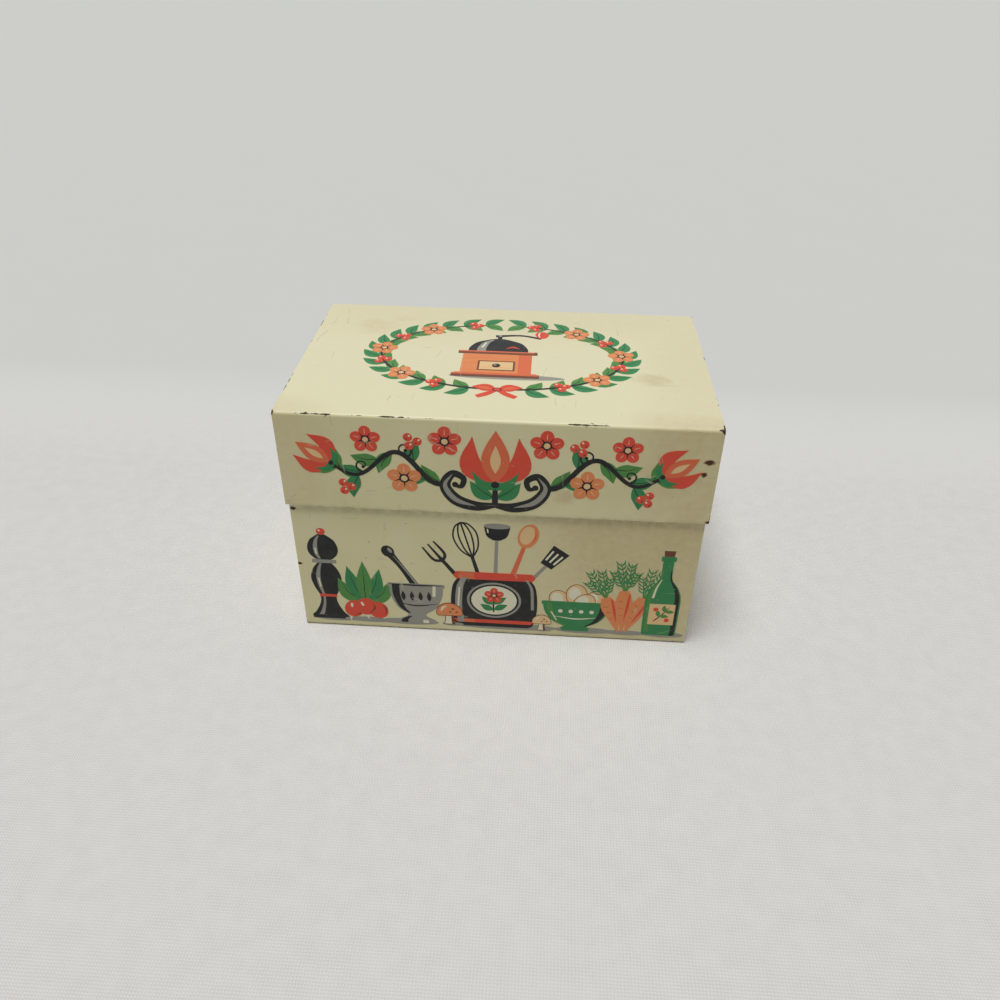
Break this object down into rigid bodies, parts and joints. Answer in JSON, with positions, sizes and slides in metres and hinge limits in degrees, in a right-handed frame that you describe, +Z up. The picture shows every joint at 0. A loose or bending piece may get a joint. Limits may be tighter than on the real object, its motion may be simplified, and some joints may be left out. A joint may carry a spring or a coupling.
{
  "type": "hinged tin card box",
  "caption": "Small sheet-metal box for index cards, with a deep overlapping lid on two wire-pin hinges.",
  "frame": {"origin": "middle of the body's flat bottom face", "axes": "+X along the box to the right, +Y from the front to the hinges at the back, +Z up"},
  "size_m": [0.136, 0.0881, 0.087],
  "materials": {
    "printed_tinplate": "cream enamel with printed decoration, satin varnish, worn at the edges",
    "steel_wire": "drawn wire, dull"
  },
  "bodies": {
    "box": {"body_wrap": "printed_tinplate", "body_end_left": "printed_tinplate", "body_end_right": "printed_tinplate", "hinge_pin_left": "steel_wire", "hinge_pin_right": "steel_wire"},
    "lid": {"lid_wrap": "printed_tinplate", "lid_end_left": "printed_tinplate", "lid_end_right": "printed_tinplate"}
  },
  "joints": [
    {"name": "lid_hinge", "type": "hinge", "parent": "box", "child": "lid", "pos_m": [0, 0.0434, 0.06205], "axis": [-1, 0, 0], "range_deg": [0, 180]}
  ]
}
